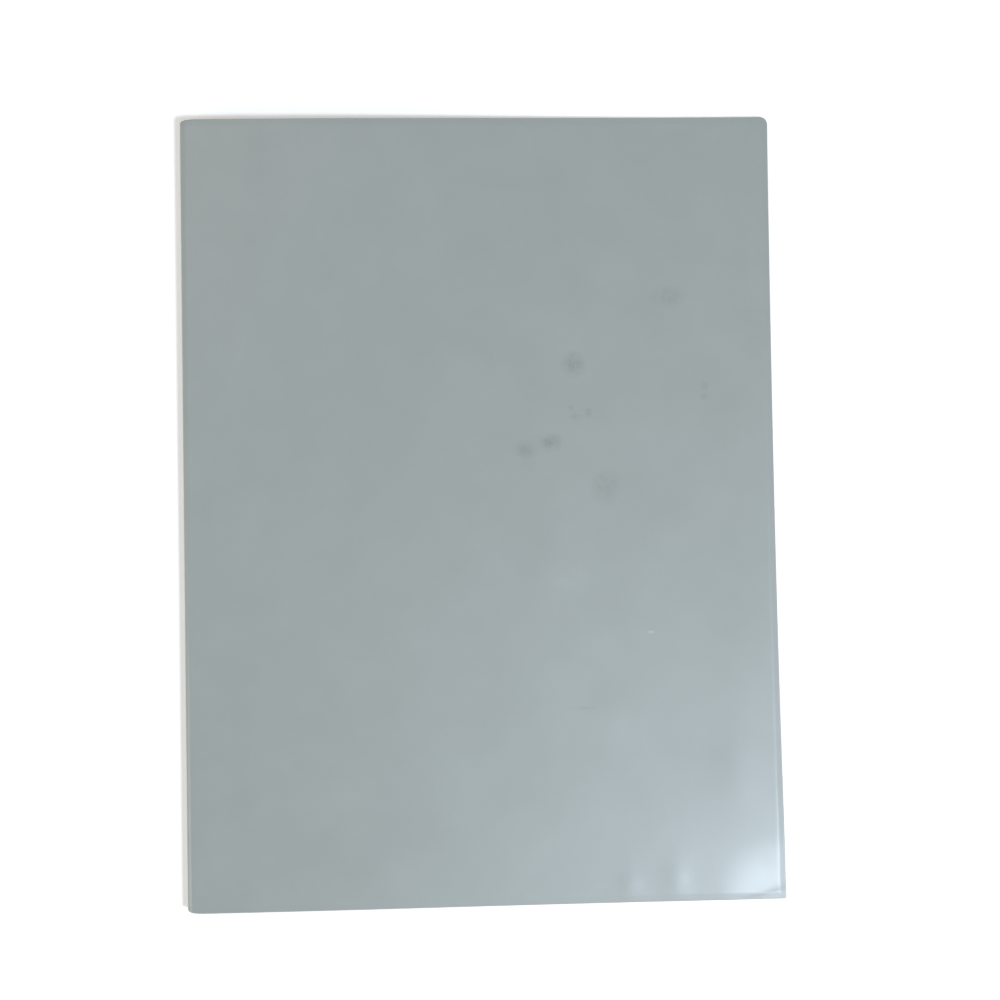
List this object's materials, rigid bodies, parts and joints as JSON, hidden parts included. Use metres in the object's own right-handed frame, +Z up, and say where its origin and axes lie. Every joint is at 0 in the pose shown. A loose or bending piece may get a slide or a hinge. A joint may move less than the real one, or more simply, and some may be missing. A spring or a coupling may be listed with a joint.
{
  "type": "fastener folder",
  "caption": "Soft vinyl report folder for A4 sheets, closed, with a welded border, and inside it a hemmed flap, a bent metal prong strip and a black compressor bar.",
  "frame": {"origin": "middle of the closed folder's footprint, on the surface that its back cover lies on", "axes": "+X from the spine to the fore-edge, +Y towards the head of the covers, +Z up through the front cover"},
  "size_m": [0.235, 0.312, 0.0076],
  "materials": {
    "cover_vinyl": "grey-blue soft vinyl, smooth and semi-gloss, white inside",
    "inner_vinyl": "warm white soft vinyl, smooth and semi-gloss",
    "tinplate": "thin tinplate strip, satin",
    "bar_plastic": "black moulded plastic, satin"
  },
  "bodies": {
    "back": {"back_cover": "cover_vinyl", "fastener_flap": "inner_vinyl", "prong_strip": "tinplate", "compressor_bar": "bar_plastic"},
    "spine": {"spine": "cover_vinyl"},
    "front": {"front_cover": "cover_vinyl"}
  },
  "joints": [
    {"name": "spine_fold", "type": "hinge", "parent": "back", "child": "spine", "pos_m": [-0.1175, 0, 0], "axis": [0, -1, 0], "range_deg": [0, 90]},
    {"name": "cover_fold", "type": "hinge", "parent": "spine", "child": "front", "pos_m": [-0.1175, 0, 0.0076], "axis": [0, -1, 0], "range_deg": [0, 90]}
  ]
}
